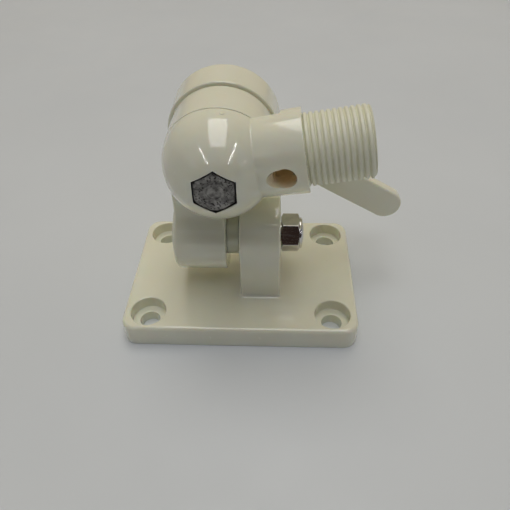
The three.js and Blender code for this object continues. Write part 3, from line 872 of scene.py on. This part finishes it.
def collar():
    """The smooth part of the stud, flared into the ball and rounded at its lip."""
    flare = 0.2
    start = math.sqrt(BALL_RADIUS ** 2 - (COLLAR_ROOT_RADIUS + flare) ** 2)
    root = math.sqrt(BALL_RADIUS ** 2 - COLLAR_ROOT_RADIUS ** 2)
    return rounded([
        (0, 0, 0), (COLLAR_ROOT_RADIUS, 0, 0), (COLLAR_ROOT_RADIUS + flare, start, 0),
        (COLLAR_ROOT_RADIUS, root + flare, 0.15), (COLLAR_RADIUS, COLLAR_END, 0.3),
        (0, COLLAR_END, 0),
    ])


ALONG_STUD = Euler((0, QUARTER_TURN - STUD_LIFT, 0)).to_matrix()
STUD_UP = Vector((-STUD_AXIS.z, 0, STUD_AXIS.x))


def stud():
    """Collar, helical thread and bore, built along its own Z from the ball's centre."""
    axes, at = ALONG_STUD, BALL_CENTRE
    lead_in = 0.9
    radius = THREAD["radius"]
    screw = threaded_rod(
        radius, THREAD["depth"], THREAD["pitch"], COLLAR_END - OVERSHOOT, STUD_END, axes, at,
        steps=160, rows=16,
    )
    envelope = lathe(rounded([
        (0, COLLAR_END - OVERSHOOT, 0), (radius + OVERSHOOT, COLLAR_END - OVERSHOOT, 0),
        (radius + OVERSHOOT, STUD_END - lead_in - OVERSHOOT, 0), (radius - lead_in, STUD_END, 0.15),
        (0, STUD_END, 0),
    ]), axes, at)
    mouth = BORE_RADIUS + 3
    bore = lathe(rounded([
        (0, BORE_START, 0), (BORE_RADIUS, BORE_START, 0), (BORE_RADIUS, STUD_END, 0.35),
        (mouth, STUD_END, 0), (mouth, STUD_END + OVERSHOOT, 0), (0, STUD_END + OVERSHOOT, 0),
    ]), axes, at)
    body = joined(lathe(collar(), axes, at), common(screw, envelope))
    return cut(body, bore, *cable_entry(), collar_relief())


def gate_mark():
    """The small round scar that the mould's gate leaves on top of the ball."""
    radius, height = 0.75, 0.12
    lean = Vector((0.12, -0.10, 1)).normalized()
    axes = Vector((0, 0, 1)).rotation_difference(lean).to_matrix()
    root, top = BALL_RADIUS - 1, BALL_RADIUS + height
    return rod(radius, root, top, axes, BALL_CENTRE, high_edge=0.1)


# Picks the faces that get the painted shade of the bolt's pocket.
def in_bolt_pocket(point):
    skin = 0.1
    inside = (point - BALL_CENTRE).length < BALL_RADIUS - skin
    return inside and point.y < PIVOT_LOW.y + HEAD_HEIGHT + 1


def place_on_stud(point):
    """(how far a point lies along the stud from the ball's centre, how far off the stud's axis)."""
    out = point - BALL_CENTRE
    along = out.dot(STUD_AXIS)
    return along, (out - STUD_AXIS * along).length


# Picks the faces that get the painted warm glow of the cable entry.
def in_cable_entry(point):
    start, end, skin = 14.5, 25.5, 0.2
    along, from_axis = place_on_stud(point)
    inside = from_axis < COLLAR_ROOT_RADIUS - skin
    return inside and start < along < end and point.y < BALL_CENTRE.y


def in_thread(point):
    along, from_axis = place_on_stud(point)
    return along > COLLAR_END + MARGIN and from_axis > BORE_RADIUS + 1.5


def from_stud(along, y, rise):
    """A point given along the stud, across it and above it."""
    return BALL_CENTRE + STUD_AXIS * along + Vector((0, y, 0)) + STUD_UP * rise


def cable_entry():
    """The round side hole, its slanted lead-in and the throat into the bore."""
    radius = 3.7
    rise = -1.0                             # its axis lies a little below the stud's
    hole_at = from_stud(21.2, -1.0, rise)
    ramp_at = from_stud(20.9, -11.5, rise)
    throat_at = from_stud(0, -4.7, rise)
    hole = rod(radius, 0, 40, ALONG_MINUS_Y, hole_at)
    slant = Matrix.Rotation(-math.radians(35), 3, STUD_UP)
    ramp = rod(radius - 0.3, -7.5, 12, slant @ ALONG_MINUS_Y, ramp_at, low_edge=2.5)
    throat = rod(radius, 18, BORE_START + OVERSHOOT, ALONG_STUD, throat_at)
    return hole, ramp, throat


def collar_relief():
    """Clears the collar's rear half beside the ring, so that the stud can lie down either way."""
    back = RING_FRONT - GAP - BALL_CENTRE.y
    deep = 2 * COLLAR_RADIUS                # well past the collar
    reach = COLLAR_BACK_START
    corners = ((-reach, back), (reach, back), (reach, deep), (-reach, deep))
    outline = [Vector(corner) for corner in corners]
    axes = Matrix.Rotation(-STUD_LIFT, 3, "Y")
    return slab(outline, -deep, deep, axes, BALL_CENTRE)


def swivel_head():
    at = (SWIVEL.x, 0, SWIVEL.z)
    back = RING_FRONT - GAP
    seat = PIVOT_LOW.y + HEAD_HEIGHT
    return cut(
        joined(ball(), stud(), gate_mark()),
        rod(BOLT_BORE_RADIUS, HEAD_LOW.y, back + 2, ALONG_Y, at),
        bolt_pocket(seat, ALONG_Y, at, depth=14),
        rod(SPRING_POCKET, SPRING_POCKET_FRONT, back + OVERSHOOT, ALONG_Y, at),
        face_teeth(**SWIVEL_TEETH, axes=ALONG_Y, at=(SWIVEL.x, back, SWIVEL.z)),
    )


# ---------------------------------------------------------------- lever


def bar_outline():
    """The bar seen from behind: a straight bar with a round end, flared where it leaves the hub."""
    fillet = 5.0
    root = 4                                # half its width at the swivel axis, inside the hub
    half = LEVER_HALF_WIDTH
    hub = LEVER_BACK_RADIUS - 0.4
    centre_x = math.sqrt((hub + fillet) ** 2 - (half + fillet) ** 2)
    touch = math.degrees(math.atan2(half + fillet, centre_x))
    tip = LEVER_REACH - half
    upper = arc((centre_x, half + fillet), fillet, touch - 180, -90, 12)
    end = arc((tip, 0), half, -90, 90, 40)
    lower = [Vector((p.x, -p.y)) for p in upper]
    return [Vector((0, -root)), *lower, *end, *reversed(upper), Vector((0, root))]


def lever_handle():
    at = (SWIVEL.x, 0, SWIVEL.z)
    hub = rod(
        LEVER_FRONT_RADIUS, LEVER_LOW.y, LEVER_HIGH.y, ALONG_Y, at, 0.6, 1.6, LEVER_BACK_RADIUS,
    )
    bar = slab(bar_outline(), LEVER_BAR_FRONT, LEVER_HIGH.y, MIRRORED_Y, at, 0.9, 1.1)
    front, back = LEVER_LOW.y - OVERSHOOT, LEVER_HIGH.y + OVERSHOOT
    washer_radius = (WASHER_HIGH.z - WASHER_LOW.z) / 2 + GAP
    return drooped(cut(
        joined(hub, bar),
        rod(BOLT_BORE_RADIUS, front, back, ALONG_Y, at),
        rod(washer_radius, front, WASHER_HIGH.y + GAP, ALONG_Y, at),
        slab(hexagon(HEX_HEAD + 2 * GAP), CAPTIVE_LOW.y - GAP, back, ALONG_Y, at),
    ))


# ---------------------------------------------------------------- assembly

finished_piece(
    base_bracket(), "moulded_base", "base_bracket", "base", NYLON,
    areas=((PLATE_NYLON, on_plate),),
)

finished_piece(elbow_knuckle(), "moulded_elbow", "elbow_knuckle", "elbow", NYLON)
finished_piece(tilt_ratchet_hub(), "toothed_hub", "tilt_ratchet_hub", "elbow", NYLON)
finished_piece(tilt_bolt(), "threaded_tilt_bolt", "tilt_bolt", "elbow", STEEL)
finished_piece(tilt_locknut(), "crimped_locknut", "tilt_locknut", "elbow", STEEL)
finished_piece(
    tilt_locknut_insert(), "locking_ring", "tilt_locknut_insert", "elbow", INSERT,
)

# In the head, the bolt's pocket carries painted shade and the cable entry a painted warm glow of
# light.
finished_piece(
    swivel_head(), "moulded_head", "swivel_head", "head", NYLON,
    areas=((POCKET_SHADE_NYLON, in_bolt_pocket), (ENTRY_PAINTED_GLOW, in_cable_entry), (THREAD_NYLON, in_thread)),
)
finished_piece(
    swivel_bolt(), "threaded_swivel_bolt", "swivel_bolt", "head", WORN_STEEL,
)
finished_piece(release_spring(), "coiled_spring", "release_spring", "head", STEEL)

finished_piece(lever_handle(), "moulded_lever", "lever_handle", "lever", NYLON)
finished_piece(lever_nut(), "captive_nut", "lever_nut", "lever", STEEL)
finished_piece(lever_washer(), "flat_washer", "lever_washer", "lever", STEEL)

# ---------------------------------------------------------------- floor, light and camera

CEILING = 1.5                           # height of the lamps
ROOM_TURN = math.radians(4.8)           # how far the room stands askew to the object
TOWARDS_BACK_WALL = Vector((0.0, 0.85, 0.53))
WALLS = (                               # (how far towards the back wall, red, green, blue)
    (0.10, 0.150, 0.150, 0.182),
    (0.85, 0.480, 0.415, 0.300),
)


def floor():
    half = 2.5
    corners = [(-half, -half, 0), (half, -half, 0), (half, half, 0), (-half, half, 0)]
    mesh = bpy.data.meshes.new("floor")
    mesh.from_pydata(corners, [], [(0, 1, 2, 3)])
    mesh.materials.append(pale_floor())
    board = bpy.data.objects.new("floor", mesh)
    bpy.context.scene.collection.objects.link(board)


def soft_world():
    """A room whose walls are pale behind the object and dim and cooler in front of it."""
    world = bpy.data.worlds.new("room")
    bpy.context.scene.world = world
    world.use_nodes = True
    tree = world.node_tree
    nodes, links = tree.nodes, tree.links
    background = next(n for n in nodes if n.type == "BACKGROUND")
    place = nodes.new("ShaderNodeTexCoord")
    backness = nodes.new("ShaderNodeVectorMath")
    backness.operation = "DOT_PRODUCT"
    backness.inputs[1].default_value = TOWARDS_BACK_WALL
    links.new(place.outputs["Generated"], backness.inputs[0])
    walls = nodes.new("ShaderNodeValToRGB")
    for stop, (position, *colour) in zip(walls.color_ramp.elements, WALLS):
        stop.position = position
        stop.color = (*colour, 1)
    links.new(backness.outputs["Value"], walls.inputs["Fac"])
    links.new(walls.outputs["Color"], background.inputs["Color"])


def ceiling_light(name, low, high, radiance, diffuse=True):
    """A rectangle of light at ceiling height. low and high are (x, y), in ceiling heights."""
    x, y = [(a + b) / 2 * CEILING for a, b in zip(low, high)]
    width, depth = [(b - a) * CEILING for a, b in zip(low, high)]
    lamp = bpy.data.lights.new(name, "AREA")
    lamp.shape = "RECTANGLE"
    lamp.size = width
    lamp.size_y = depth
    lamp.energy = radiance * math.pi * width * depth
    placed = bpy.data.objects.new(name, lamp)
    placed.matrix_world = Matrix.Rotation(ROOM_TURN, 4, "Z") @ Matrix.Translation((x, y, CEILING))
    placed.visible_camera = False
    placed.visible_diffuse = diffuse
    bpy.context.scene.collection.objects.link(placed)


def dark_flag():
    """A nearly black card low in front, which the camera doesn't see, for the steel to reflect."""
    left, right, y, low, high = -0.5, 0.7, -0.62, 0.10, 0.42
    corners = [(left, y, low), (right, y, low), (right, y, high), (left, y, high)]
    mesh = bpy.data.meshes.new("dark_flag")
    mesh.from_pydata(corners, [], [(0, 1, 2, 3)])
    black = Shader("black_card")
    black.set(Roughness=0.9)
    mottle = black.ramp(black.noise(30), (0.022, 0.008, 0.005), (0.03, 0.012, 0.008), 0.3, 0.7)
    black.link(mottle, "Base Color")
    mesh.materials.append(black.material)
    card = bpy.data.objects.new("dark_flag", mesh)
    card.visible_camera = False
    bpy.context.scene.collection.objects.link(card)


def tube_light(name, x, low_y, high_y, half_width, radiance):
    """A thin lamp that only shows as a streak in glossy surfaces."""
    low, high = (x - half_width, low_y), (x + half_width, high_y)
    ceiling_light(name, low, high, radiance, diffuse=False)


def lights():
    """A wide panel overhead, with a near and a far tube on each side of it."""
    ceiling_light("panel", (-0.245, -0.52), (0.275, 0.62), 2.35)
    for side, x, near_end, far_x in (("left", -0.68, -0.50, -2.4), ("right", 0.68, -0.30, 2.4)):
        tube_light(f"tube_{side}", x, -4.5, near_end, half_width=0.011, radiance=34)
        tube_light(f"far_tube_{side}", far_x, -2.6, -1.4, half_width=0.02, radiance=12)


def camera():
    """Stands above and in front of the object and looks down at it, a little to the left."""
    made = bpy.data.cameras.new("camera")
    made.lens = 36.11
    made.sensor_width = 36
    placed = bpy.data.objects.new("camera", made)
    down, left, roll = (math.radians(angle) for angle in (43.35, 3.23, -1.44))
    placed.matrix_world = (
        Matrix.Translation((0.01343, -0.14858, 0.15835))
        @ Matrix.Rotation(left, 4, "Z")
        @ Matrix.Rotation(QUARTER_TURN - down, 4, "X")
        @ Matrix.Rotation(roll, 4, "Z")
    )
    bpy.context.scene.collection.objects.link(placed)
    bpy.context.scene.camera = placed


floor()
soft_world()
dark_flag()
lights()
camera()
bpy.context.scene.view_settings.view_transform = "Standard"
